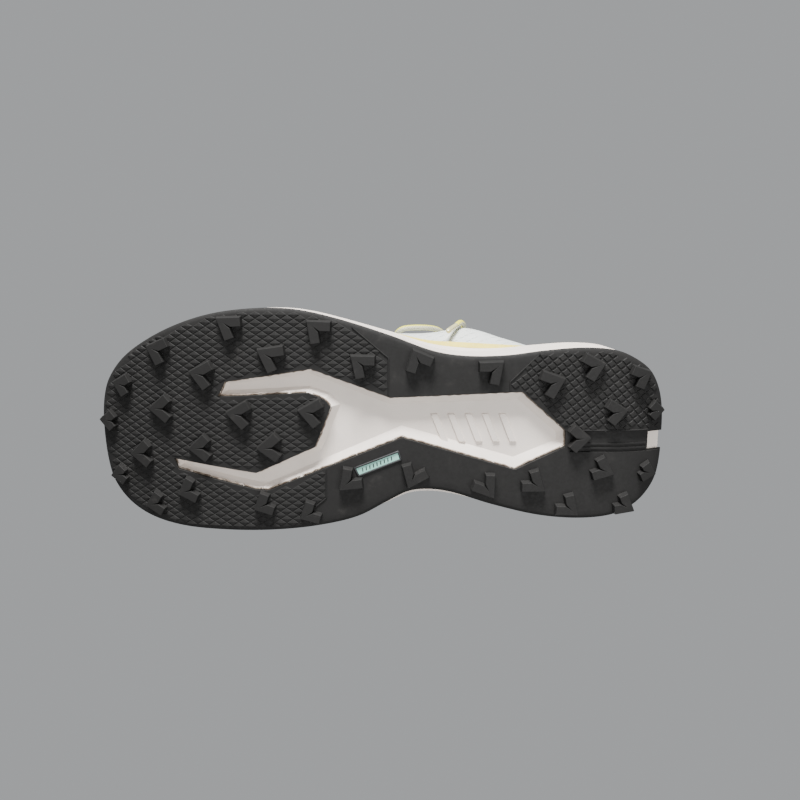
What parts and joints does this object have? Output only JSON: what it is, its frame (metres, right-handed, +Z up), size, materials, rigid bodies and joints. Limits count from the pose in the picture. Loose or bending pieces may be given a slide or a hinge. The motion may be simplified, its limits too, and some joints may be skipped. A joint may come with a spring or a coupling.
{
  "type": "running shoe",
  "caption": "Low-cut left trail running shoe with a lugged rubber outsole, cup-shaped foam midsole, mesh upper and laces tied in a bow.",
  "frame": {"origin": "centre of the sole, on the ground under the lug tips", "axes": "+X towards the toe, +Y towards the lateral side of this left shoe, +Z up"},
  "size_m": [0.3023, 0.1196, 0.1204],
  "materials": {
    "rubber": "matt moulded carbon rubber with a fine raised texture",
    "mint": "satin moulded rubber inlay",
    "foam": "matt moulded EVA foam",
    "board": "non-woven lasting cloth",
    "sockliner": "open-cell foam",
    "lining": "brushed knit",
    "mesh": "engineered mesh with short printed dashes",
    "overlay": "thin translucent film overlay, pale yellow",
    "bumper": "heat-bonded film with a fine grain",
    "tape": "woven reinforcement tape",
    "stiffener": "thermoformed sheet",
    "padding": "laminated polyurethane foam",
    "webbing": "narrow woven webbing",
    "lace": "braided polyester",
    "aglet": "clear film crimped on the braid",
    "tab": "woven webbing"
  },
  "bodies": {
    "root": {"outsole": "rubber", "sole_badge": "mint", "midsole": "foam", "strobel_board": "board", "insole": "sockliner", "insole_cover": "lining", "vamp": "mesh", "quarter_lateral": "mesh", "quarter_medial": "mesh", "mudguard_rand": "overlay", "toe_bumper": "bumper", "heel_tape": "tape", "eyestay_lateral": "tape", "eyestay_medial": "tape", "heel_counter": "stiffener", "toe_puff": "stiffener", "collar_padding": "padding", "collar_lining": "lining", "tongue": "mesh", "lace_loop_lateral_1": "webbing", "lace_loop_lateral_2": "webbing", "lace_loop_lateral_3": "webbing", "lace_loop_lateral_4": "webbing", "lace_loop_lateral_5": "webbing", "lace_loop_lateral_6": "webbing", "lace_loop_medial_1": "webbing", "lace_loop_medial_2": "webbing", "lace_loop_medial_3": "webbing", "lace_loop_medial_4": "webbing", "lace_loop_medial_5": "webbing", "lace_loop_medial_6": "webbing", "bow_loop_lateral": "lace", "bow_loop_medial": "lace", "lace_end_lateral": "lace", "lace_end_medial": "lace", "aglet_lateral": "aglet", "aglet_medial": "aglet", "lace": "lace", "lace_knot": "lace"},
    "tongue_flap": {"tongue_top": "mesh"},
    "pull_tab": {"heel_pull_tab": "tab"}
  },
  "joints": [
    {"name": "tongue_flap_fold", "type": "hinge", "parent": "root", "child": "tongue_flap", "pos_m": [-0.051, -0.005, 0.087], "axis": [0, 1, 0], "range_deg": [-28, 9], "stiffness_Nm_per_rad": 0.03},
    {"name": "pull_tab_fold", "type": "hinge", "parent": "root", "child": "pull_tab", "pos_m": [-0.1426, -0.0065, 0.0986], "axis": [0, 1, 0], "range_deg": [-30, 40], "stiffness_Nm_per_rad": 0.01}
  ]
}
